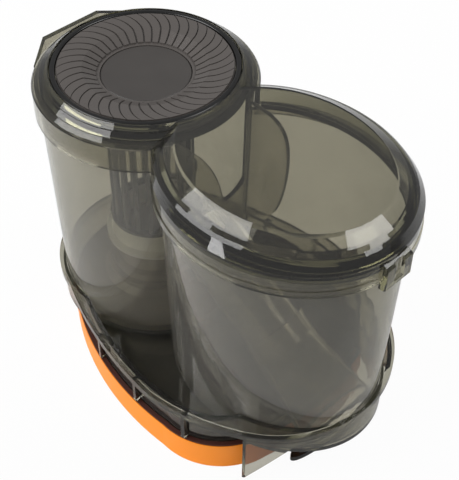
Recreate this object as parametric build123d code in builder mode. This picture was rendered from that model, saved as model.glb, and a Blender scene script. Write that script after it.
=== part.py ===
from build123d import *
import os

os.makedirs("parts", exist_ok=True)

# Driving dimensions in millimetres. X runs from the cyclone to the dust chamber, Z is up,
# and the origin is under the middle of the bin, on the surface it stands on.

# Plan: reaches are measured from the cyclone axis
lobe_spacing = 75.0        # cyclone axis to the centre of the dust chamber
hook_reach = 48.5          # to the hook end of the lid
latch_reach = 130.5        # to the latch end of the lid
cyclone_x = (hook_reach - latch_reach) / 2
dust_x = cyclone_x + lobe_spacing

# Heights
filter_height = 14.0       # orange frame, from the ground to its top edge
base_height = 16.7         # ground to the floor of both chambers
dust_depth = 100.3         # floor to the rim of the dust chamber
cyclone_depth = 109.3      # floor to the rim of the cyclone chamber
lid_crown = 7.0            # cyclone rim to the top plane of the lid
floor_z = base_height
dust_rim_z = floor_z + dust_depth
cyclone_rim_z = floor_z + cyclone_depth
lid_top_z = cyclone_rim_z + lid_crown

# Fits
fit = 0.3                  # running gap between pieces that come apart
seat = 0.2                 # gap between pieces that stay together
past = 1.0                 # how far a cutting shape runs past the face it cuts

# Bucket
wall = 2.0
cyclone_rim_r = 43.2       # outside, at the rim
cyclone_floor_r = 40.6     # outside, at the floor
dust_rim_a = 51.2          # half length and half width outside, at the rim
dust_rim_b = 41.4
dust_floor_a = 48.4
dust_floor_b = 38.2
window_sill = 68.3         # floor to the sill of the window in the partition
window_right = 18.5        # half chord of the straight edge of the window
window_left = 1.8          # where the curved edge starts at the sill
window_sweep = 20.0        # how far the curved edge has swung over at the rim
window_bow = 0.2           # share of that swing at half height
vane_y = 20.0              # mid plane of the guide vane
vane_thickness = 1.8
vane_root = 33.0           # cyclone axis to the root of the vane, inside the partition
vane_straight = 45.0       # to the end of the vane's level top edge
vane_reach = 59.2          # to its outer edge
vane_belly = 54.3          # to the edge at three quarters of its height
vane_drop = 2.0            # cyclone rim to the top of the vane
vane_height = 62.0

# Lid
skirt_wall = 1.5
lid_plate = 2.0
lid_shell = 1.9
skirt_lap = 3.4            # how far the dust skirt hangs below the dust rim
cyclone_skirt_lap = 10.0   # how far the cyclone skirt hangs below the cyclone rim
bead_height = 3.0          # bead round the foot of the dust skirt
bead_rise = 0.4
top_half_length = 43.2     # flat top over the dust chamber
top_half_width = 34.9
bevel_drop = 3.6           # first slope of the dust lobe: drop from the top plane and run outwards
bevel_run = 5.5
step_drop = 4.4            # foot of the step under it
step_run = 7.2
ledge_drop = 5.4           # outer edge of the narrow ledge
ledge_run = 8.4
rim_drop = 9.4             # foot of the second slope, on the skirt
hollow_top_run = 0.2       # edge of the hollow's ceiling, out from the edge of the flat top
skirt_room_end = 0.9       # room between the dust wall and the skirt at the latch end and at the sides
skirt_room_side = 3.0
skirt_shift = 1.5          # the skirt's oval sits this much further from the cyclone
ring_land = 0.3            # flat ring between the bezel and the rings round the cyclone
ring_one_r = 40.2          # three rings that step down to the cyclone skirt
ring_one_drop = 1.6
ring_two_r = 42.4
ring_two_drop = 3.6
ring_three_r = 44.3
ring_three_drop = 5.2
ring_foot_drop = 6.2
ring_groove = 0.4
groove_gap = 1.5           # cyclone rim to the ceiling of the groove over it
groove_run = 2.6           # slope beside that ceiling
groove_drop = 1.6
collar_r = 38.0            # outside of the collar that hangs into the cyclone
collar_wall = 2.0
collar_drop = 10.0         # top plane to the lower edge of the collar
hook_half = 14.0           # half width of the hook's end
hook_root_half = 28.6      # half width where its shoulders leave the skirt
hook_root = 35.0
hook_drop = 5.7            # top plane to the top of the hook
latch_half = 6.5
latch_root = 126.0         # cyclone axis to where the latch leaves the second slope
latch_root_drop = 9.8
latch_brow_drop = 12.0
latch_inner = 127.2        # to the inner face of the latch
latch_foot_drop = 23.3
latch_chamfer = 1.0
latch_slot_half = 5.0
latch_slot_height = 5.0
latch_slot_depth = 1.4
seal_height = 2.6
seal_land = 2.7            # width of the face that presses on the dust seal

# Swirl disc in the lid
disc_r = 35.0
disc_shell = 1.8
edge_drop = 0.9            # top plane to the disc at its edge
blade_root_r = 19.6
blade_bend_r = 21.5        # blades are radial up to here, then swing over
blade_knee_r = 25.0
blade_mid_r = 29.0
blade_tip_r = 34.6
knee_drop = 1.9
root_drop = 4.4
blade_count = 42
blade_sweep = 12.2         # degrees from root to tip
blade_root_share = 0.75    # share of the pitch that a blade fills at its root and at its tip
blade_tip_share = 0.92
blade_rise = 0.7
cap_r = 18.0
cap_thickness = 1.2
cap_drop = 4.5
bezel_outer_r = 37.6
bezel_depth = 3.4

# Vortex finder: heights of the foot are measured from the floor
cage_r = 18.2
cage_wall = 2.2
cage_collar_r = 21.5
cage_collar = 2.2
cage_band_r = 19.0
cage_band = 12.3           # plain band under the slots
cage_slot_height = 50.0
slot_count = 20
slot_width = 3.6
cage_cap = 2.5
tube_bore_r = 15.0
tube_neck_r = 17.5
tube_height = 29.0
tube_bead = 2.5            # height of the two beads
mid_bead_r = 20.5
mid_bead_height = 15.0
foot_bead_r = 21.7
foot_bead_height = 9.5
tube_waist_r = 19.0        # between the beads
flare_knee_r = 24.0        # trumpet at the foot
flare_knee_height = 6.4
flare_r = 37.0
flare_rim = 3.4
flare_wall = 1.4
spigot_r = 17.2
spigot_drop = 4.2
tube_seal_r = 20.4
tube_seal_height = 1.8

# Inlet duct
duct_r = 12.5              # outside of the straight length
duct_wall = 1.4
duct_end_x = 41.5          # where its axis meets the cyclone wall, from the cyclone axis
duct_end_y = -6.5
duct_end_z = 70.0
port_reach = 111.7         # middle of the inlet port, from the cyclone axis
port_half_length = 5.8
port_half_width = 20.0
socket_share = 0.40        # share of the run that the socket takes
bell_length = 9.0
socket_wall = 1.5
mouth_start = 101.5        # where the plane of the mouth would touch the ground
mouth_slope = 0.70
inlet_seal_height = 2.5
inlet_seal_lip = 0.7       # how far the lip stands out in front of and behind the port
inlet_seal_wing = 6.0      # and at its two sides

# Base: a tray round the feet of the chambers, with a flange on its wall
plate = 1.6
tray_wall = 1.2
tray_height = 11.3         # floor to the underside of the flange
flange = 2.0
rim_width = 2.0            # raised rim on the flange
rim_rise = 1.0
base_back_r = 43.9
base_back_turn = 78.0      # degrees of the back arc on each side of the axis
base_flank = 52.6          # half widths of the flange along its outline
base_flank_reach = 20.7
base_belly = 57.4
base_belly_reach = 60.0
base_hip = 53.3
base_hip_reach = 79.4
base_shoulder = 45.3
base_shoulder_reach = 97.7
nose_reach = 125.4
flange_lip = 1.0           # flange edge to the fins of the nose
fin_wall = 1.8
fin_back = 100.0           # cyclone axis to the upright edge of the fins
fin_start = 100.9          # where their slanted edge leaves the ground
fin_slope = 1.67
rib_first = 21.6           # cyclone axis to the first rib
rib_pitch = 27.6
rib_count = 3
rib_thickness = 1.7
bay_wall = 1.8
bay_lap = 8.0              # how far the bay reaches down into the filter frame

# Filter
frame_back_r = 39.3
frame_back_turn = 65.0     # degrees of the back arc on each side of the axis
frame_flank_half = 52.6    # half widths of the frame along its outline
frame_flank_reach = 23.7
frame_belly = 55.5
frame_belly_reach = 66.0
frame_corner_half = 46.0
frame_corner_reach = 90.0
frame_heel_half = 28.0
frame_heel_reach = 99.0
frame_end_reach = 102.5
frame_wall = 2.2
grid_depth = 2.0
grid_bar = 3.0
grid_pitch = 22.0
grid_count = 5
foam_height = 8.0
fleece_height = 2.0
filter_seal_height = 0.8


def cyclone_radius(height):
    share = (height - floor_z) / cyclone_depth
    return cyclone_floor_r + share * (cyclone_rim_r - cyclone_floor_r)


# Half length and half width of the dust chamber, outside
def dust_halves(height):
    share = (height - floor_z) / dust_depth
    half_length = dust_floor_a + share * (dust_rim_a - dust_floor_a)
    half_width = dust_floor_b + share * (dust_rim_b - dust_floor_b)
    return half_length, half_width


cyclone_axis = Axis((cyclone_x, 0, 0), (0, 0, 1))
section_plane = Plane(origin=(cyclone_x, 0, 0), x_dir=(1, 0, 0), z_dir=(0, -1, 0))


# Cyclone chamber as a solid cone, grown or shrunk by a gap
def cyclone_cone(gap, bottom, top):
    with BuildPart() as cone:
        with BuildSketch(section_plane):
            with BuildLine():
                Polyline(
                    (0, bottom),
                    (cyclone_radius(bottom) + gap, bottom),
                    (cyclone_radius(top) + gap, top),
                    (0, top),
                    close=True,
                )
            make_face()
        revolve(axis=cyclone_axis)
    return cone.part


# Axis of the inlet duct, from the port in the floor to the cyclone wall
port = Vector(cyclone_x + port_reach, 0, floor_z)
duct_end = Vector(cyclone_x + duct_end_x, duct_end_y, duct_end_z)
duct_run = duct_end - port
duct_direction = duct_run.normalized()
bell_plane = Plane(origin=port + duct_run * socket_share, x_dir=(0, 1, 0), z_dir=duct_direction)
port_plane = Plane(origin=port, x_dir=(0, 1, 0), z_dir=(0, 0, 1))

# Bucket: two chambers with the cyclone wall as their partition
vane_top = cyclone_rim_z - vane_drop
with BuildPart() as bucket:
    with BuildSketch(Plane.XY.offset(floor_z)):
        with Locations((dust_x, 0)):
            Ellipse(dust_floor_a, dust_floor_b)
    with BuildSketch(Plane.XY.offset(dust_rim_z)):
        with Locations((dust_x, 0)):
            Ellipse(dust_rim_a, dust_rim_b)
    loft(ruled=True)
    with BuildSketch(Plane.XY.offset(floor_z)):
        with Locations((dust_x, 0)):
            Ellipse(dust_floor_a - wall, dust_floor_b - wall)
    with BuildSketch(Plane.XY.offset(dust_rim_z)):
        with Locations((dust_x, 0)):
            Ellipse(dust_rim_a - wall, dust_rim_b - wall)
    loft(ruled=True, mode=Mode.SUBTRACT)
    add(cyclone_cone(0, floor_z, cyclone_rim_z))
    # guide vane that stands off the partition
    with BuildSketch(Plane(origin=(cyclone_x, vane_y, 0), x_dir=(1, 0, 0), z_dir=(0, -1, 0))):
        with BuildLine():
            Spline(
                (vane_straight, vane_top),
                (vane_reach, vane_top - vane_height * 0.28),
                (vane_belly, vane_top - vane_height * 0.74),
                (vane_root, vane_top - vane_height),
                tangents=((1, 0), (-1, -0.5)),
            )
            Polyline((vane_root, vane_top - vane_height), (vane_root, vane_top), (vane_straight, vane_top))
        make_face()
    extrude(amount=vane_thickness / 2, both=True)
    add(cyclone_cone(-wall, floor_z - past, cyclone_rim_z + past), mode=Mode.SUBTRACT)
    # window from the cyclone to the dust chamber
    with BuildSketch(Plane(origin=(cyclone_x, 0, floor_z), x_dir=(0, 1, 0), z_dir=(1, 0, 0))):
        with BuildLine():
            Polyline(
                (-window_sweep, cyclone_depth + past),
                (window_right, cyclone_depth + past),
                (window_right, window_sill),
                (window_left, window_sill),
            )
            Spline(
                (window_left, window_sill),
                (-window_sweep * window_bow, (window_sill + cyclone_depth) / 2),
                (-window_sweep, cyclone_depth + past),
            )
        make_face()
    extrude(amount=cyclone_rim_r + wall, mode=Mode.SUBTRACT)
    # mouth of the inlet duct in the partition
    with BuildSketch(Plane(origin=duct_end, z_dir=duct_direction)):
        Circle(duct_r - duct_wall)
    extrude(amount=duct_r * 1.5, both=True, mode=Mode.SUBTRACT)
bucket.part.label = "bucket"
export_step(bucket.part, "parts/bucket.step")

# Lid: one moulding over both chambers
skirt_in_r = cyclone_rim_r + fit
skirt_out_r = skirt_in_r + skirt_wall
skirt_x = dust_x + skirt_shift
skirt_in_a = dust_rim_a + skirt_room_end - skirt_shift
skirt_in_b = dust_rim_b + skirt_room_side
skirt_out_a = skirt_in_a + skirt_wall
skirt_out_b = skirt_in_b + skirt_wall
skirt_z = dust_rim_z - skirt_lap
cyclone_skirt_z = cyclone_rim_z - cyclone_skirt_lap
ledge_z = dust_rim_z + fit + seal_height
hook_z = lid_top_z - hook_drop
collar_z = lid_top_z - collar_drop
groove_z = cyclone_rim_z + groove_gap
bezel_well_r = bezel_outer_r + seat
bezel_seat_z = lid_top_z - bezel_depth
disc_well_r = disc_r + seat
disc_floor_z = lid_top_z - cap_drop - cap_thickness - disc_shell
ceiling_z = disc_floor_z - lid_plate


# Oval section of the dust lobe at a height
def dust_oval(height, half_length, half_width, middle=dust_x):
    with BuildSketch(Plane.XY.offset(height)) as oval:
        with Locations((middle, 0)):
            Ellipse(half_length, half_width)
    return oval.sketch


# Oval of the lobe at a drop below the top plane, as far out from the flat top as the run says
def lobe_oval(drop, run):
    return dust_oval(lid_top_z - drop, top_half_length + run, top_half_width + run)


# Outline of the hook with its two shoulders, in plan
def hook_face(inset):
    with BuildSketch(Plane(origin=(cyclone_x, 0, cyclone_skirt_z))) as outline:
        with BuildLine():
            Polyline(
                (-hook_root + inset, -hook_root_half),
                (-hook_reach + inset, -hook_half),
                (-hook_reach + inset, hook_half),
                (-hook_root + inset, hook_root_half),
                close=True,
            )
        make_face()
    return outline.sketch


# Hollow of the dust lobe, kept clear of the collar round the cyclone
with BuildPart() as dust_hollow:
    with BuildSketch(Plane.XY.offset(skirt_z - past)):
        with Locations((skirt_x, 0)):
            Ellipse(skirt_in_a, skirt_in_b)
        with Locations((dust_x, 0)):
            Ellipse(dust_rim_a + fit, dust_rim_b + fit)
    extrude(amount=ledge_z - skirt_z + past)
    loft(
        sections=[
            dust_oval(ledge_z, dust_rim_a - seal_land, dust_rim_b - seal_land),
            lobe_oval(ledge_drop + lid_shell, step_run - lid_shell),
            lobe_oval(bevel_drop + lid_shell / 2, bevel_run - lid_shell),
            lobe_oval(lid_plate, hollow_top_run),
        ],
        ruled=True,
    )
    with BuildSketch(section_plane):
        with BuildLine():
            Polyline(
                (0, skirt_z - 2 * past),
                (collar_r, skirt_z - 2 * past),
                (collar_r, groove_z),
                (bezel_well_r + skirt_wall, groove_z),
                (bezel_well_r + skirt_wall, lid_top_z),
                (0, lid_top_z),
                close=True,
            )
        make_face()
    revolve(axis=cyclone_axis, mode=Mode.SUBTRACT)

with BuildPart() as lid:
    loft(
        sections=[
            dust_oval(skirt_z, skirt_out_a, skirt_out_b, skirt_x),
            dust_oval(lid_top_z - rim_drop, skirt_out_a, skirt_out_b, skirt_x),
            lobe_oval(ledge_drop, ledge_run),
            lobe_oval(step_drop, step_run),
            lobe_oval(bevel_drop, bevel_run),
            lobe_oval(0, 0),
        ],
        ruled=True,
    )
    with BuildSketch(Plane.XY.offset(skirt_z)):
        with Locations((skirt_x, 0)):
            Ellipse(skirt_out_a + bead_rise, skirt_out_b + bead_rise)
    extrude(amount=bead_height)
    with BuildSketch(section_plane):
        with BuildLine():
            Polyline(
                (0, cyclone_skirt_z),
                (skirt_out_r, cyclone_skirt_z),
                (skirt_out_r, lid_top_z - ring_foot_drop),
                (ring_three_r, lid_top_z - ring_three_drop),
                (ring_two_r, lid_top_z - ring_two_drop - ring_groove),
                (ring_two_r, lid_top_z - ring_two_drop),
                (ring_one_r, lid_top_z - ring_one_drop - ring_groove),
                (ring_one_r, lid_top_z - ring_one_drop),
                (bezel_well_r + ring_land, lid_top_z),
                (0, lid_top_z),
                close=True,
            )
        make_face()
    revolve(axis=cyclone_axis)
    # hook and latch at the two ends
    add(extrude(hook_face(0), amount=hook_z - cyclone_skirt_z, mode=Mode.PRIVATE))
    with BuildSketch(section_plane):
        with BuildLine():
            Polyline(
                (latch_root, lid_top_z - latch_root_drop),
                (latch_reach - latch_chamfer, lid_top_z - latch_brow_drop),
                (latch_reach, lid_top_z - latch_brow_drop - latch_chamfer),
                (latch_reach, lid_top_z - latch_foot_drop + latch_chamfer),
                (latch_reach - latch_chamfer, lid_top_z - latch_foot_drop),
                (latch_inner, lid_top_z - latch_foot_drop),
                (latch_inner, lid_top_z - latch_brow_drop),
                (latch_root, lid_top_z - latch_brow_drop),
                close=True,
            )
        make_face()
    extrude(amount=latch_half, both=True)
    add(dust_hollow.part, mode=Mode.SUBTRACT)
    hook_hollow = hook_z - cyclone_skirt_z - skirt_wall
    add(extrude(hook_face(skirt_wall), amount=hook_hollow, mode=Mode.PRIVATE), mode=Mode.SUBTRACT)
    with BuildSketch(section_plane):
        with BuildLine():
            Polyline(
                (0, skirt_z - past),
                (skirt_in_r, skirt_z - past),
                (skirt_in_r, groove_z - groove_drop),
                (skirt_in_r - groove_run, groove_z),
                (collar_r, groove_z),
                (collar_r, collar_z),
                (collar_r - collar_wall, collar_z),
                (collar_r - collar_wall, ceiling_z),
                (0, ceiling_z),
                close=True,
            )
        make_face()
        with BuildLine():
            Polyline(
                (0, disc_floor_z),
                (disc_well_r, disc_floor_z),
                (disc_well_r, bezel_seat_z),
                (bezel_well_r, bezel_seat_z),
                (bezel_well_r, lid_top_z + past),
                (0, lid_top_z + past),
                close=True,
            )
        make_face()
    revolve(axis=cyclone_axis, mode=Mode.SUBTRACT)
    # slot in the latch
    slot_z = lid_top_z - latch_brow_drop - latch_chamfer - latch_slot_height / 2
    with BuildSketch(Plane(origin=(cyclone_x + latch_reach, 0, slot_z), z_dir=(1, 0, 0))):
        Rectangle(2 * latch_slot_half, latch_slot_height)
    extrude(amount=-latch_slot_depth, mode=Mode.SUBTRACT)
lid.part.label = "lid"
export_step(lid.part, "parts/lid.step")

# Swirl disc: a dish with a ring of raised blades that swing over towards the edge
disc_top = lid_top_z - edge_drop
knee_z = lid_top_z - knee_drop
root_z = lid_top_z - root_drop
cap_seat_z = disc_floor_z + disc_shell
cap_well_r = cap_r + seat


# Point on the edge of a blade: side is 1 on its leading edge and -1 on its trailing edge
def blade_point(radius, side):
    along = (radius - blade_root_r) / (blade_tip_r - blade_root_r)
    share = blade_root_share + along * (blade_tip_share - blade_root_share)
    swing = max(radius - blade_bend_r, 0) / (blade_tip_r - blade_bend_r)
    angle = blade_sweep * swing ** 2 + side * share * 180 / blade_count
    return Vector(radius, 0, 0).rotate(Axis.Z, angle)


blade_stations = (blade_root_r, blade_bend_r, blade_knee_r, blade_mid_r, blade_tip_r)
with BuildPart() as swirl_blades:
    with BuildSketch(Plane(origin=(cyclone_x, 0, root_z))):
        with BuildSketch(mode=Mode.PRIVATE) as blade:
            with BuildLine():
                leading = Spline(*[blade_point(radius, 1) for radius in blade_stations])
                trailing = Spline(*[blade_point(radius, -1) for radius in blade_stations])
                Line(leading @ 0, trailing @ 0)
                Line(leading @ 1, trailing @ 1)
            make_face()
        with PolarLocations(0, blade_count):
            add(blade.sketch)
    extrude(amount=root_drop)
    with BuildSketch(section_plane):
        with BuildLine():
            Polyline(
                (blade_root_r - past, root_z),
                (blade_root_r, root_z),
                (blade_knee_r, knee_z),
                (disc_r, disc_top),
                (disc_r, disc_top + blade_rise),
                (blade_knee_r, knee_z + blade_rise),
                (blade_root_r, root_z + blade_rise),
                (blade_root_r - past, root_z + blade_rise),
                close=True,
            )
        make_face()
    revolve(axis=cyclone_axis, mode=Mode.INTERSECT)

with BuildPart() as swirl_disc:
    with BuildSketch(section_plane):
        with BuildLine():
            Polyline(
                (0, cap_seat_z),
                (cap_well_r, cap_seat_z),
                (cap_well_r, root_z),
                (blade_root_r, root_z),
                (blade_knee_r, knee_z),
                (disc_r, disc_top),
                (disc_r, disc_floor_z),
                (disc_r - disc_shell, disc_floor_z),
                (disc_r - disc_shell, disc_top - disc_shell),
                (blade_knee_r, knee_z - disc_shell),
                (blade_root_r, root_z - disc_shell),
                (blade_root_r, disc_floor_z),
                (0, disc_floor_z),
                close=True,
            )
        make_face()
    revolve(axis=cyclone_axis)
    add(swirl_blades.part)
swirl_disc.part.label = "swirl_disc"
export_step(swirl_disc.part, "parts/swirl_disc.step")

# Plain cap in the middle of the disc
with BuildPart() as centre_cap:
    with BuildSketch(Plane(origin=(cyclone_x, 0, cap_seat_z))):
        Circle(cap_r)
    extrude(amount=cap_thickness)
    chamfer(centre_cap.faces().sort_by(Axis.Z)[-1].edges(), length=cap_thickness / 3)
centre_cap.part.label = "centre_cap"
export_step(centre_cap.part, "parts/centre_cap.step")

# Black ring round the disc
with BuildPart() as disc_bezel:
    with BuildSketch(section_plane):
        with BuildLine():
            Polyline(
                (disc_well_r, bezel_seat_z),
                (bezel_outer_r, bezel_seat_z),
                (bezel_outer_r, lid_top_z),
                (disc_well_r, lid_top_z),
                close=True,
            )
        make_face()
    revolve(axis=cyclone_axis)
    fillet(disc_bezel.faces().sort_by(Axis.Z)[-1].edges(), radius=bezel_depth / 4)
disc_bezel.part.label = "disc_bezel"
export_step(disc_bezel.part, "parts/disc_bezel.step")

# Seals on the lid
with BuildPart() as cyclone_seal:
    with BuildSketch(section_plane):
        with BuildLine():
            Polyline(
                (collar_r, collar_z),
                (cyclone_radius(collar_z) - wall - fit, collar_z + seal_height / 2),
                (collar_r, collar_z + seal_height),
                close=True,
            )
        make_face()
    revolve(axis=cyclone_axis)
cyclone_seal.part.label = "cyclone_seal"
export_step(cyclone_seal.part, "parts/cyclone_seal.step")

with BuildPart() as dust_seal:
    with BuildSketch(Plane.XY.offset(dust_rim_z + fit)):
        with Locations((dust_x, 0)):
            Ellipse(dust_rim_a, dust_rim_b)
            Ellipse(dust_rim_a - wall - fit, dust_rim_b - wall - fit, mode=Mode.SUBTRACT)
    extrude(amount=seal_height)
    add(cyclone_cone(fit + seal_height, dust_rim_z, ledge_z), mode=Mode.SUBTRACT)
dust_seal.part.label = "dust_seal"
export_step(dust_seal.part, "parts/dust_seal.step")

# Vortex finder: a foot with a trumpet and two beads, and the slotted cage on top of it
flare_in = flare_r - flare_wall
flare_ceiling = flare_rim - flare_wall
with BuildPart() as outlet_tube:
    with BuildSketch(Plane(origin=(cyclone_x, 0, floor_z), x_dir=(1, 0, 0), z_dir=(0, -1, 0))):
        with BuildLine():
            Polyline(
                (tube_bore_r, -spigot_drop),
                (spigot_r, -spigot_drop),
                (spigot_r, flare_knee_height),
                (flare_knee_r - flare_wall, flare_knee_height - flare_wall),
                (flare_in, flare_ceiling),
                (flare_in, 0),
                (flare_r, 0),
                (flare_r, flare_rim),
                (flare_knee_r, flare_knee_height),
                (tube_waist_r, foot_bead_height),
                (foot_bead_r, foot_bead_height),
                (foot_bead_r, foot_bead_height + tube_bead),
                (tube_waist_r, foot_bead_height + tube_bead),
                (tube_waist_r, mid_bead_height),
                (mid_bead_r, mid_bead_height),
                (mid_bead_r, mid_bead_height + tube_bead),
                (tube_neck_r, mid_bead_height + tube_bead),
                (tube_neck_r, tube_height),
                (tube_bore_r, tube_height),
                close=True,
            )
        make_face()
    revolve(axis=cyclone_axis)
outlet_tube.part.label = "outlet_tube"
export_step(outlet_tube.part, "parts/outlet_tube.step")

cage_z = floor_z + tube_height
cage_top_z = cage_z + cage_band + cage_slot_height + cage_cap
with BuildPart() as vortex_cage:
    with BuildSketch(Plane(origin=(cyclone_x, 0, cage_z))):
        Circle(cage_r)
    extrude(amount=cage_top_z - cage_z)
    fillet(vortex_cage.faces().sort_by(Axis.Z)[-1].edges(), radius=cage_cap)
    with BuildSketch(Plane(origin=(cyclone_x, 0, cage_z))):
        Circle(cage_band_r)
    extrude(amount=cage_band)
    with BuildSketch(Plane(origin=(cyclone_x, 0, cage_z))):
        Circle(cage_collar_r)
    extrude(amount=cage_collar)
    with BuildSketch(Plane(origin=(cyclone_x, 0, cage_z))):
        Circle(cage_r - cage_wall)
    extrude(amount=cage_top_z - cage_z - cage_cap, mode=Mode.SUBTRACT)
    with BuildSketch(Plane(origin=(cyclone_x, 0, cage_z + cage_band))):
        with PolarLocations(cage_r, slot_count):
            Rectangle(3 * cage_wall, slot_width)
    extrude(amount=cage_slot_height - cage_cap, mode=Mode.SUBTRACT)
vortex_cage.part.label = "vortex_cage"
export_step(vortex_cage.part, "parts/vortex_cage.step")

with BuildPart() as tube_seal:
    with BuildSketch(Plane(origin=(cyclone_x, 0, floor_z - plate))):
        Circle(tube_seal_r)
        Circle(spigot_r, mode=Mode.SUBTRACT)
    extrude(amount=-tube_seal_height)
tube_seal.part.label = "tube_seal"
export_step(tube_seal.part, "parts/tube_seal.step")

# Inlet: a socket that rises from the port in the floor, and the straight duct plugged into it
bell_r = duct_r + seat + socket_wall


# Everything under a slanted plane that leaves the ground at a start and is raised by a lift
def under_slope(start, slope, lift):
    with BuildPart() as wedge:
        with BuildSketch(section_plane):
            with BuildLine():
                Polyline(
                    (start - base_height, -2 * base_belly),
                    (start - base_height, lift - base_height * slope),
                    (start + base_belly, lift + base_belly * slope),
                    (start + base_belly, -2 * base_belly),
                    close=True,
                )
            make_face()
        extrude(amount=2 * base_belly, both=True)
    return wedge.part


with BuildPart() as inlet_socket:
    with BuildSketch(port_plane):
        Ellipse(port_half_width, port_half_length)
    extrude(amount=-base_height)
    with BuildSketch(port_plane):
        Ellipse(port_half_width, port_half_length)
    with BuildSketch(bell_plane):
        Circle(bell_r)
    loft(ruled=True)
    with BuildSketch(bell_plane):
        Circle(bell_r)
    extrude(amount=bell_length)
    with BuildSketch(port_plane):
        Ellipse(port_half_width - socket_wall, port_half_length - socket_wall)
    extrude(amount=-base_height, mode=Mode.SUBTRACT)
    with BuildSketch(port_plane):
        Ellipse(port_half_width - socket_wall, port_half_length - socket_wall)
    with BuildSketch(bell_plane):
        Circle(duct_r - duct_wall)
    loft(ruled=True, mode=Mode.SUBTRACT)
    with BuildSketch(bell_plane):
        Circle(duct_r + seat)
    extrude(amount=bell_length, mode=Mode.SUBTRACT)
    add(under_slope(mouth_start, mouth_slope, inlet_seal_height), mode=Mode.SUBTRACT)
inlet_socket.part.label = "inlet_socket"
export_step(inlet_socket.part, "parts/inlet_socket.step")

with BuildPart() as inlet_duct:
    with BuildSketch(bell_plane):
        Circle(duct_r)
        Circle(duct_r - duct_wall, mode=Mode.SUBTRACT)
    extrude(amount=duct_run.length)
    add(cyclone_cone(seat, floor_z, cyclone_rim_z), mode=Mode.SUBTRACT)
inlet_duct.part.label = "inlet_duct"
export_step(inlet_duct.part, "parts/inlet_duct.step")

with BuildPart() as inlet_seal:
    with BuildSketch(port_plane):
        Ellipse(port_half_width + inlet_seal_wing, port_half_length + inlet_seal_lip)
        Ellipse(port_half_width - socket_wall, port_half_length - socket_wall, mode=Mode.SUBTRACT)
    extrude(amount=-base_height)
    add(under_slope(mouth_start, mouth_slope, 0), mode=Mode.SUBTRACT)
    add(under_slope(mouth_start, mouth_slope, inlet_seal_height), mode=Mode.INTERSECT)
inlet_seal.part.label = "inlet_seal"
export_step(inlet_seal.part, "parts/inlet_seal.step")


# Outline of the base flange: round the cyclone at the back, wide at the belly, drawn in at the nose
def flange_face(inset):
    with BuildSketch(Plane(origin=(cyclone_x, 0, 0))) as outline:
        with BuildLine():
            back = CenterArc((0, 0), base_back_r, 180, base_back_turn)
            ThreePointArc(back @ 1, (base_flank_reach, -base_flank), (base_belly_reach, -base_belly))
            ThreePointArc(
                (base_belly_reach, -base_belly),
                (base_hip_reach, -base_hip),
                (base_shoulder_reach, -base_shoulder),
            )
            mirror(about=Plane.XZ)
            ThreePointArc(
                (base_shoulder_reach, -base_shoulder),
                (nose_reach, 0),
                (base_shoulder_reach, base_shoulder),
            )
        make_face()
        if inset:
            offset(amount=-inset, kind=Kind.INTERSECTION)
    return outline.sketch


# Outline of the filter frame
def frame_face(inset):
    with BuildSketch(Plane(origin=(cyclone_x, 0, 0))) as outline:
        with BuildLine():
            back = CenterArc((0, 0), frame_back_r, 180, frame_back_turn)
            ThreePointArc(back @ 1, (frame_flank_reach, -frame_flank_half), (frame_belly_reach, -frame_belly))
            ThreePointArc(
                (frame_belly_reach, -frame_belly),
                (frame_corner_reach, -frame_corner_half),
                (frame_heel_reach, -frame_heel_half),
            )
            mirror(about=Plane.XZ)
            ThreePointArc(
                (frame_heel_reach, -frame_heel_half),
                (frame_end_reach, 0),
                (frame_heel_reach, frame_heel_half),
            )
        make_face()
        if inset:
            offset(amount=-inset, kind=Kind.INTERSECTION)
    return outline.sketch


# Outline of the tray: over the filter bay, and a gap outside the feet of the two chambers
def tray_face(inset, gap):
    half_length, half_width = dust_halves(floor_z + tray_height + flange)
    with BuildSketch(Plane.XY) as outline:
        add(frame_face(inset))
        with Locations((cyclone_x, 0)):
            Circle(cyclone_radius(floor_z + tray_height + flange) + gap)
        with Locations((dust_x, 0)):
            Ellipse(half_length + gap, half_width + gap)
    return outline.sketch


# Base: tray with its flange and raised rim, filter bay, ribs and the slanted fins of the nose
bay_inset = frame_wall + fit
bay_z = filter_height - bay_lap
plate_z = floor_z - plate
flange_z = floor_z + tray_height
tray_inside = tray_face(bay_inset + bay_wall, seat)
tray_outside = tray_face(bay_inset, seat + tray_wall)
with BuildPart() as ribs:
    with BuildSketch(Plane.XY.offset(plate_z)):
        with Locations((cyclone_x + rib_first + rib_pitch * (rib_count - 1) / 2, 0)):
            with GridLocations(rib_pitch, 0, rib_count, 1):
                Rectangle(rib_thickness, 3 * base_belly)
        add(frame_face(0), mode=Mode.INTERSECT)
        add(tray_inside, mode=Mode.SUBTRACT)
    extrude(amount=flange_z - plate_z)

with BuildPart() as fins:
    with BuildSketch(Plane.XY):
        add(flange_face(flange_lip))
        add(flange_face(flange_lip + fin_wall), mode=Mode.SUBTRACT)
        with Locations((cyclone_x + fin_back, 0)):
            Rectangle(base_belly, 2 * base_belly, align=(Align.MIN, Align.CENTER), mode=Mode.INTERSECT)
    extrude(amount=flange_z)
    add(under_slope(fin_start, fin_slope, 0), mode=Mode.SUBTRACT)

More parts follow.
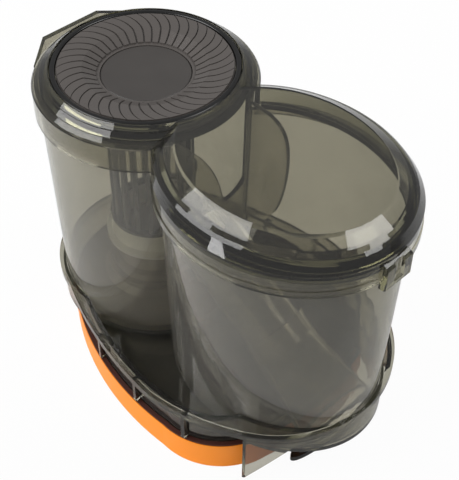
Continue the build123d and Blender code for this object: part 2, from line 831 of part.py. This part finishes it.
with BuildPart() as base_housing:
    with BuildSketch(Plane.XY.offset(plate_z)):
        add(tray_outside)
    extrude(amount=plate)
    with BuildSketch(Plane.XY.offset(floor_z)):
        add(tray_outside)
        add(tray_inside, mode=Mode.SUBTRACT)
    extrude(amount=tray_height)
    with BuildSketch(Plane.XY.offset(flange_z)):
        add(flange_face(0))
        add(tray_inside, mode=Mode.SUBTRACT)
    extrude(amount=flange)
    with BuildSketch(Plane.XY.offset(flange_z + flange)):
        add(flange_face(0))
        add(flange_face(rim_width), mode=Mode.SUBTRACT)
        add(tray_inside, mode=Mode.SUBTRACT)
    extrude(amount=rim_rise)
    with BuildSketch(Plane.XY.offset(bay_z)):
        add(frame_face(bay_inset))
        add(frame_face(bay_inset + bay_wall), mode=Mode.SUBTRACT)
    extrude(amount=plate_z - bay_z)
    add(ribs.part)
    add(fins.part)
    with BuildSketch(Plane(origin=(cyclone_x, 0, plate_z))):
        Circle(spigot_r + seat)
    extrude(amount=plate, mode=Mode.SUBTRACT)
    with BuildSketch(port_plane):
        Ellipse(port_half_width + seat, port_half_length + seat)
    extrude(amount=-plate, mode=Mode.SUBTRACT)
base_housing.part.label = "base_housing"
export_step(base_housing.part, "parts/base_housing.step")

# Filter: orange frame with a grid under the foam, the fleece and the seal on its top edge
with BuildPart() as filter_frame:
    with BuildSketch(Plane.XY):
        add(frame_face(0))
        add(frame_face(frame_wall), mode=Mode.SUBTRACT)
    extrude(amount=filter_height)
    with BuildSketch(Plane.XY):
        with Locations((cyclone_x + frame_end_reach - frame_belly, 0)):
            with GridLocations(grid_pitch, 0, grid_count, 1):
                Rectangle(grid_bar, 3 * frame_belly)
            Rectangle(4 * frame_belly, grid_bar)
        add(frame_face(frame_wall / 2), mode=Mode.INTERSECT)
    extrude(amount=grid_depth)
filter_frame.part.label = "filter_frame"
export_step(filter_frame.part, "parts/filter_frame.step")

foam_inset = bay_inset + bay_wall + fit
with BuildPart() as filter_foam:
    with BuildSketch(Plane.XY.offset(grid_depth)):
        add(frame_face(foam_inset))
    extrude(amount=foam_height)
filter_foam.part.label = "filter_foam"
export_step(filter_foam.part, "parts/filter_foam.step")

with BuildPart() as filter_fleece:
    with BuildSketch(Plane.XY.offset(grid_depth + foam_height)):
        add(frame_face(foam_inset))
    extrude(amount=fleece_height)
filter_fleece.part.label = "filter_fleece"
export_step(filter_fleece.part, "parts/filter_fleece.step")

with BuildPart() as filter_seal:
    with BuildSketch(Plane.XY.offset(filter_height)):
        add(frame_face(fit))
        add(frame_face(frame_wall), mode=Mode.SUBTRACT)
    extrude(amount=filter_seal_height)
filter_seal.part.label = "filter_seal"
export_step(filter_seal.part, "parts/filter_seal.step")
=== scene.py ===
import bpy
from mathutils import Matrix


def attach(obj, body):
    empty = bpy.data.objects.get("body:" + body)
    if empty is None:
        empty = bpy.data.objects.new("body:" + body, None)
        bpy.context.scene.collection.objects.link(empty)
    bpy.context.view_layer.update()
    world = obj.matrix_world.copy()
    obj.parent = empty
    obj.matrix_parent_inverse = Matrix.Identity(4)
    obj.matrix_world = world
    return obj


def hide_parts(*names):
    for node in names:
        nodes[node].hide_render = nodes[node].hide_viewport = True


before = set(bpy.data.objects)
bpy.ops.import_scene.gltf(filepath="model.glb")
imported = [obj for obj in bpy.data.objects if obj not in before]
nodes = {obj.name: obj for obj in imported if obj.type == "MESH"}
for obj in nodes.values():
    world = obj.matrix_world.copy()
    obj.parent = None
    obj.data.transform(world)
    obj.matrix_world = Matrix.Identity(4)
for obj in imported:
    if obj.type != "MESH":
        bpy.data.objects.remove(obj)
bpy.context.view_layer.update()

import math

import bpy
import numpy as np
from mathutils import Quaternion, Vector

scene = bpy.context.scene


class Wire:  # one output socket of a node tree; arithmetic on it adds Math nodes
    def __init__(self, tree, socket=None):
        self.tree = tree
        self.socket = socket

    def node(self, kind, settings=None, inputs=None, output=0):  # any node: settings first, then sockets
        made = self.tree.nodes.new("ShaderNode" + kind)
        for name, value in (settings or {}).items():
            if name == "stops":
                ramp = made.color_ramp.elements
                while len(ramp) < len(value):
                    ramp.new(1)
                for stop, (place, grey) in zip(ramp, value):
                    stop.position = place
                    stop.color = (grey, grey, grey, 1)
            else:
                setattr(made, name, value)
        for name, value in (inputs or {}).items():
            if isinstance(value, Wire):
                self.tree.links.new(value.socket, made.inputs[name])
            else:
                made.inputs[name].default_value = value
        return Wire(self.tree, made.outputs[output])

    def math(self, operation, first, second=0.0):
        return self.node("Math", {"operation": operation}, {0: first, 1: second})

    def __add__(self, other):
        return self.math("ADD", self, other)

    def __radd__(self, other):
        return self.math("ADD", other, self)

    def __sub__(self, other):
        return self.math("SUBTRACT", self, other)

    def __rsub__(self, other):
        return self.math("SUBTRACT", other, self)

    def __mul__(self, other):
        return self.math("MULTIPLY", self, other)

    def __rmul__(self, other):
        return self.math("MULTIPLY", other, self)


def newMaterial(name):  # an empty tree with its output, and the wire that makes nodes in it
    material = bpy.data.materials.new(name)
    material.use_nodes = True
    tree = material.node_tree
    tree.nodes.clear()
    return material, Wire(tree), tree.nodes.new("ShaderNodeOutputMaterial")


def finishWith(maker, output, surface, volume=None):
    maker.tree.links.new(surface.socket, output.inputs["Surface"])
    if volume:
        maker.tree.links.new(volume.socket, output.inputs["Volume"])


def noiseAt(maker, scale, detail=3.0, stretch=(1, 1, 1)):  # scale is in features to the metre
    place = maker.node("TexCoord", output="Object")
    if stretch != (1, 1, 1):
        place = maker.node("Mapping", {}, {"Vector": place, "Scale": stretch})
    return maker.node("TexNoise", {}, {"Vector": place, "Scale": scale, "Detail": detail}, "Fac")


def between(maker, mask, low, high):  # colour that goes from low to high with the mask
    ends = {6: low if isinstance(low, Wire) else (*low, 1), 7: (*high, 1)}
    return maker.node("Mix", {"data_type": "RGBA"}, {0: mask, **ends}, 2)


def along(maker, place, direction):  # how far a place lies along a direction
    return maker.node("VectorMath", {"operation": "DOT_PRODUCT"}, {0: place, 1: direction}, "Value")


def within(maker, value, middle, half):  # 1 where the value is less than half away from the middle
    return maker.math("LESS_THAN", maker.math("ABSOLUTE", value - middle), half)


def shade(colour, share):
    return tuple(share * channel for channel in colour)


# Clear smoky mouldings: glass that takes light away with depth, and a milky haze of scuffs and fine dust
smoke = {"tint": (0.20, 0.20, 0.03), "ior": 1.5, "rough": 0.012, "smear": 0.03, "smearScale": 70,
         "fade": 0.85, "wave": 0.05, "waveScale": 55, "waveDepth": 0.001}
dust = (0.90, 0.87, 0.81)  # colour of the haze
mouldSeam = {"normal": (0.0, 1.0, 0.0), "reach": 0.0003, "width": 0.0002, "rise": 3.0}
cageRing = {"middle": 0.0508, "half": 0.0056, "colour": (0.95, 0.94, 0.89)}
clears = {  # clear is the share of light that goes in, and the rest is haze
    "lidClear": {"density": 265, "clear": 0.985, "dust": dust},
    "bucketClear": {"density": 245, "clear": 0.925, "dust": dust, "seam": mouldSeam},
    "ductClear": {"density": 70, "clear": 0.93, "dust": dust},
    "baseClear": {"density": 260, "clear": 0.978, "dust": shade(dust, 0.8)},
    "tubeClear": {"density": 60, "clear": 0.20, "dust": (0.50, 0.455, 0.40), "rough": 0.2},
    "cageClear": {"density": 20, "clear": 0.15, "dust": (0.04, 0.037, 0.034), "rough": 0.10,
                  "ring": cageRing},
}


def smokyPlastic(name, look):
    material, maker, output = newMaterial(name)
    place = maker.node("TexCoord", output="Object")
    smear = noiseAt(maker, smoke["smearScale"])
    height = noiseAt(maker, smoke["waveScale"], 1.0)  # slow sink of the moulded wall
    paint = between(maker, smear, shade(look["dust"], smoke["fade"]), look["dust"])
    if "seam" in look:  # parting line of the mould: a fine ridge where an upright plane cuts the wall
        seam = look["seam"]
        across = along(maker, place, seam["normal"])
        height = height + seam["rise"] * within(maker, across, seam["reach"], seam["width"])
    if "ring" in look:  # pale ring between two heights
        ring = look["ring"]
        level = maker.node("SeparateXYZ", {}, {0: place}, "Z")
        paint = between(maker, within(maker, level, ring["middle"], ring["half"]), paint, ring["colour"])
    relief = {"Strength": smoke["wave"], "Distance": smoke["waveDepth"], "Height": height}
    skin = maker.node(
        "BsdfPrincipled", {},
        {
            "Base Color": paint,
            "Roughness": look.get("rough", smoke["rough"]) + smoke["smear"] * smear,
            "IOR": smoke["ior"],
            "Transmission Weight": look["clear"],
            "Normal": maker.node("Bump", {}, relief),
        },
    )
    depth = {"Color": (*smoke["tint"], 1), "Density": look["density"]}
    finishWith(maker, output, skin, maker.node("VolumeAbsorption", {}, depth))
    return material


# Opaque mouldings and rubbers: colour with a slow drift and a fine grain, gloss that follows the drift
moulded = {"driftShare": 0.6, "grainDepth": 0.0002, "ior": 1.48}
solids = {
    "disc_satin": {"name": "discSatin", "colour": (0.092, 0.082, 0.076), "vary": 0.18, "drift": 60,
                   "grain": 3500, "rough": 0.22, "smear": 0.12, "bump": 0.12},
    "cap_satin": {"name": "capSatin", "colour": (0.062, 0.056, 0.052), "vary": 0.35, "drift": 90,
                  "grain": 2600, "rough": 0.42, "smear": 0.10, "bump": 0.25},
    "bezel_black": {"name": "bezelBlack", "colour": (0.006, 0.006, 0.006), "vary": 0.3, "drift": 80,
                    "grain": 2500, "rough": 0.14, "smear": 0.12, "bump": 0.03},
    "seal_rubber": {"name": "sealRubber", "colour": (0.016, 0.015, 0.014), "vary": 0.4, "drift": 120,
                    "grain": 1800, "rough": 0.55, "smear": 0.2, "bump": 0.2},
    "frame_orange": {"name": "frameOrange", "colour": (0.95, 0.275, 0.008), "vary": 0.08, "drift": 35,
                     "grain": 2200, "rough": 0.34, "smear": 0.16, "bump": 0.10},
    "gasket_brown": {"name": "gasketBrown", "colour": (0.060, 0.012, 0.006), "vary": 0.3, "drift": 90,
                     "grain": 1500, "rough": 0.5, "smear": 0.2, "bump": 0.2},
}


def solidPlastic(look):
    material, maker, output = newMaterial(look["name"])
    drift = noiseAt(maker, look["drift"])
    grain = noiseAt(maker, look["grain"], 2.0)
    mask = moulded["driftShare"] * drift + (1 - moulded["driftShare"]) * grain
    relief = {"Strength": look["bump"], "Distance": moulded["grainDepth"], "Height": grain}
    skin = maker.node(
        "BsdfPrincipled", {},
        {
            "Base Color": between(maker, mask, shade(look["colour"], 1 - look["vary"]), look["colour"]),
            "Roughness": look["rough"] + look["smear"] * drift,
            "IOR": moulded["ior"],
            "Normal": maker.node("Bump", {}, relief),
        },
    )
    finishWith(maker, output, skin)
    return material


# Open-cell foam: round pores, with painted shade that darkens the bottom of each pore
foamLook = {"colour": (0.050, 0.050, 0.052), "dark": 0.25, "cells": 1100, "pore": (0.15, 0.55),
            "driftScale": 40, "even": 0.7, "rough": 0.95, "bump": 0.8, "depth": 0.0006}


def openFoam(name, look):
    material, maker, output = newMaterial(name)
    place = maker.node("TexCoord", output="Object")
    spacing = {"Vector": place, "Scale": look["cells"]}
    cell = maker.node("TexVoronoi", {"feature": "F1"}, spacing, "Distance")
    bottom, rim = look["pore"]
    wall = maker.node("ValToRGB", {"stops": ((bottom, 0.0), (rim, 1.0))}, {0: cell})
    # painted shade: the colour falls to the share dark towards the middle of each pore, where the pit of the
    # pore lies in shade
    mask = wall * (look["even"] + (1 - look["even"]) * noiseAt(maker, look["driftScale"]))
    relief = {"Strength": look["bump"], "Distance": look["depth"], "Height": wall}
    skin = maker.node(
        "BsdfPrincipled", {},
        {
            "Base Color": between(maker, mask, shade(look["colour"], look["dark"]), look["colour"]),
            "Roughness": look["rough"],
            "Normal": maker.node("Bump", {}, relief),
        },
    )
    finishWith(maker, output, skin)
    return material


# Needled felt: fibres in two crossing directions over a slow mottle
feltLook = {"colour": (0.20, 0.19, 0.175), "dark": 0.45, "fibre": 1600, "stretch": 0.12, "mottle": 120,
            "fibreShare": 0.7, "rough": 0.9, "bump": 0.6, "depth": 0.0004, "sheen": 0.3, "sheenRough": 0.5}


def needledFelt(name, look):
    material, maker, output = newMaterial(name)
    lengthwise = noiseAt(maker, look["fibre"], 4.0, (look["stretch"], 1, 1))
    crosswise = noiseAt(maker, look["fibre"], 4.0, (1, look["stretch"], 1))
    fibre = maker.math("MAXIMUM", lengthwise, crosswise)
    mask = look["fibreShare"] * fibre + (1 - look["fibreShare"]) * noiseAt(maker, look["mottle"], 2.0)
    relief = {"Strength": look["bump"], "Distance": look["depth"], "Height": fibre}
    skin = maker.node(
        "BsdfPrincipled", {},
        {
            "Base Color": between(maker, mask, shade(look["colour"], look["dark"]), look["colour"]),
            "Roughness": look["rough"],
            "Sheen Weight": look["sheen"],
            "Sheen Roughness": look["sheenRough"],
            "Normal": maker.node("Bump", {}, relief),
        },
    )
    finishWith(maker, output, skin)
    return material


finishes = {name: smokyPlastic(name, look) for name, look in clears.items()}
finishes |= {slot: solidPlastic(look) for slot, look in solids.items()}
finishes |= {"foam_grey": openFoam("foamGrey", foamLook), "fleece_dark": needledFelt("fleeceDark", feltLook)}
finishOf = {
    "bucket": "bucketClear", "lid": "lidClear", "inlet_duct": "ductClear", "inlet_socket": "ductClear",
    "base_housing": "baseClear", "outlet_tube": "tubeClear", "vortex_cage": "cageClear",
    "swirl_disc": "disc_satin", "centre_cap": "cap_satin", "disc_bezel": "bezel_black",
    "cyclone_seal": "seal_rubber", "dust_seal": "seal_rubber", "tube_seal": "seal_rubber",
    "inlet_seal": "seal_rubber", "filter_frame": "frame_orange", "filter_seal": "gasket_brown",
}
for nodeName, finish in finishOf.items():
    slots = nodes[nodeName].data.materials
    slots.clear()
    slots.append(finishes[finish])
print("materials on", len(finishOf), "nodes")


def outlineOf(nodeName, steps):  # plan outline r(angle) of an upright node, round the middle of its box
    mesh = nodes[nodeName].data
    points = np.empty(3 * len(mesh.vertices))
    mesh.vertices.foreach_get("co", points)
    points = points.reshape(-1, 3)
    low, high = points.min(0), points.max(0)
    middle = (low + high) / 2
    angle = np.arctan2(points[:, 1] - middle[1], points[:, 0] - middle[0])
    radius = np.hypot(points[:, 1] - middle[1], points[:, 0] - middle[0])
    order = np.argsort(angle)
    turn = np.linspace(-math.pi, math.pi, steps, endpoint=False)
    outline = np.interp(turn, angle[order], radius[order], period=2 * math.pi)
    return turn, outline, middle, low[2], high[2]


# Cut pad: x, y = middle + s(v) (r(u) - gap - inset(v)) (cos u, sin u) and z = h(v) with a slow ripple on the
# flat faces, where u goes round the outline r and v from the middle of the underside over the rounded edge
# to the middle of the top
padWaves = ((140, 60), (-40, 110))  # two crossing waves of the ripple, in radians to the metre along x and y
padHub = 0.04  # innermost ring as a share of the outline
padCalm = 4  # how soon the ripple dies towards the edge


def cutPad(name, nodeName, slotName, pad):
    around, rows, edge = pad["around"], pad["rows"], pad["edge"]
    turn, radius, middle, low, high = outlineOf(nodeName, around)
    bend = np.linspace(-math.pi / 2, math.pi / 2, pad["bends"])[1:-1]  # its ends are rows of the flat faces
    flat = np.linspace(padHub, 1, rows)
    share = np.concatenate([flat, np.ones(len(bend)), flat[::-1]])
    inset = np.concatenate([edge * np.ones(rows), edge * (1 - np.cos(bend)), edge * np.ones(rows)])
    lower, upper = low + edge * (1 + np.sin(bend)), high - edge * (1 - np.sin(bend))
    rise = np.where(np.sin(bend) < 0, lower, upper)
    height = np.concatenate([np.full(rows, low), rise, np.full(rows, high)])
    reach = share[:, None] * (radius[None, :] - pad["gap"] - inset[:, None])
    x = middle[0] + reach * np.cos(turn)
    y = middle[1] + reach * np.sin(turn)
    first, second = (np.sin(a * x + b * y) for a, b in padWaves)
    side = np.concatenate([np.ones(rows), np.zeros(len(bend)), -np.ones(rows)])[:, None]
    calm = np.minimum(1, padCalm * (1 - share[:, None]))
    z = height[:, None] + side * pad["ripple"] * (1 + first * second) * calm
    rings = np.stack([x, y, z], -1).reshape(-1, 3)
    poles = np.array([(middle[0], middle[1], z[0].mean()), (middle[0], middle[1], z[-1].mean())])
    count = len(share)
    here = np.arange(around)
    after = (here + 1) % around
    start = around * np.arange(count - 1)[:, None]
    quads = np.stack([start + here, start + after, start + around + after, start + around + here], -1)
    last = around * (count - 1)
    below = np.stack([np.full(around, count * around), after, here], -1)
    above = np.stack([np.full(around, count * around + 1), last + here, last + after], -1)
    faces = quads.reshape(-1, 4).tolist() + below.tolist() + above.tolist()
    mesh = bpy.data.meshes.new(name)
    mesh.from_pydata(np.concatenate([rings, poles]).tolist(), [], faces)
    mesh.shade_smooth()
    mesh.materials.append(finishes[slotName])
    piece = bpy.data.objects.new(name, mesh)
    scene.collection.objects.link(piece)
    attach(piece, "filter")
    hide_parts(nodeName)


foamPad = {"around": 240, "rows": 40, "bends": 9, "edge": 0.0009, "gap": 0.0002,
           "ripple": 0.00006, "fill": 0.9}
fleecePad = {"around": 240, "rows": 40, "bends": 7, "edge": 0.0007, "gap": 0.0003,
             "ripple": 0.0001, "fill": 0.8}
cutPad("foamBlock", "filter_foam", "foam_grey", foamPad)
cutPad("fleeceSheet", "filter_fleece", "fleece_dark", fleecePad)
print("filter media: foam block and fleece sheet")

view = {"place": (0.2279, -0.2157, 0.3838), "aim": (0.0510, -0.0433, 0.1330), "lens": 80.95, "roll": 0.5,
        "clip": 0.01}
camera = bpy.data.objects.new("camera", bpy.data.cameras.new("camera"))
scene.collection.objects.link(camera)
camera.data.lens = view["lens"]
camera.data.clip_start = view["clip"]
camera.location = view["place"]
camera.rotation_mode = "QUATERNION"
aimed = (Vector(view["aim"]) - Vector(view["place"])).to_track_quat("-Z", "Y")
camera.rotation_quaternion = aimed @ Quaternion((0, 0, 1), math.radians(view["roll"]))
scene.camera = camera

# White table: it looks white to the camera, also through clear walls, and keeps a faint shadow; its paper
# carries painted shade on the viewer's side
ground = {"half": 1.5, "drop": 0.0003, "back": 0.85, "front": 0.40, "towards": (0.707, -0.707, 0),
          "reach": 0.12, "glow": 0.96}
corners = [(-1, -1), (1, -1), (1, 1), (-1, 1)]
floorCorners = [(ground["half"] * x, ground["half"] * y, -ground["drop"]) for x, y in corners]
floorMesh = bpy.data.meshes.new("floor")
floorMesh.from_pydata(floorCorners, [], [(0, 1, 2, 3)])
floor = bpy.data.objects.new("floor", floorMesh)
scene.collection.objects.link(floor)
material, maker, output = newMaterial("floorWhite")
direct = maker.node("LightPath", output="Is Camera Ray")
through = maker.node("LightPath", output="Is Transmission Ray")
seen = maker.math("MAXIMUM", direct, through)
nearer = along(maker, maker.node("TexCoord", output="Object"), ground["towards"])
near = maker.node("MapRange", {}, {"Value": nearer, "From Min": 0.0, "From Max": ground["reach"]})
paintedShadeTone = between(maker, near, 3 * (ground["back"],), 3 * (ground["front"],))  # painted shade: the paper is darker on the viewer's side, which dims its reflection and bounce light on the front walls
paper = maker.node("BsdfDiffuse", {}, {"Color": paintedShadeTone})
glow = maker.node("Emission", {}, {"Color": (1, 1, 1, 1), "Strength": 1.0})
finishWith(maker, output, maker.node("MixShader", {}, {0: ground["glow"] * seen, 1: paper, 2: glow}))
floorMesh.materials.append(material)

room = 0.42  # grey of the room round the table
world = bpy.data.worlds.new("world")
scene.world = world
world.use_nodes = True
sky = world.node_tree.nodes["Background"]
sky.inputs["Color"].default_value = (1, 1, 1, 1)
sky.inputs["Strength"].default_value = room

# Softboxes: direction from the lid in degrees, distance and size in metres, and how bright the cloth is
softboxes = {
    "leftBox": {"azimuth": 236, "elevation": 46, "away": 1.0, "size": (0.74, 0.56), "bright": 5.0},
    "fillBox": {"azimuth": 268, "elevation": 9, "away": 1.1, "size": (0.60, 0.32), "bright": 9.0},
    "rightBox": {"azimuth": 33, "elevation": 47, "away": 1.0, "size": (0.56, 0.42), "bright": 5.5},
}
lidMiddle = Vector((0, 0, 0.12))
for name, box in softboxes.items():
    light = bpy.data.lights.new(name, "AREA")
    light.shape = "RECTANGLE"
    light.size, light.size_y = box["size"]
    light.energy = box["bright"] * math.pi * light.size * light.size_y  # power that gives this brightness
    azimuth, elevation = math.radians(box["azimuth"]), math.radians(box["elevation"])
    outward = Vector((
        math.cos(azimuth) * math.cos(elevation),
        math.sin(azimuth) * math.cos(elevation),
        math.sin(elevation),
    ))
    lamp = bpy.data.objects.new(name, light)
    scene.collection.objects.link(lamp)
    lamp.location = lidMiddle + box["away"] * outward
    lamp.rotation_mode = "QUATERNION"
    lamp.rotation_quaternion = (-outward).to_track_quat("-Z", "Y")
print("lamps:", len(softboxes))

scene.view_settings.view_transform = "Standard"
scene.cycles.max_bounces = 24  # light crosses many walls
scene.cycles.transmission_bounces = 24
scene.cycles.transparent_max_bounces = 32
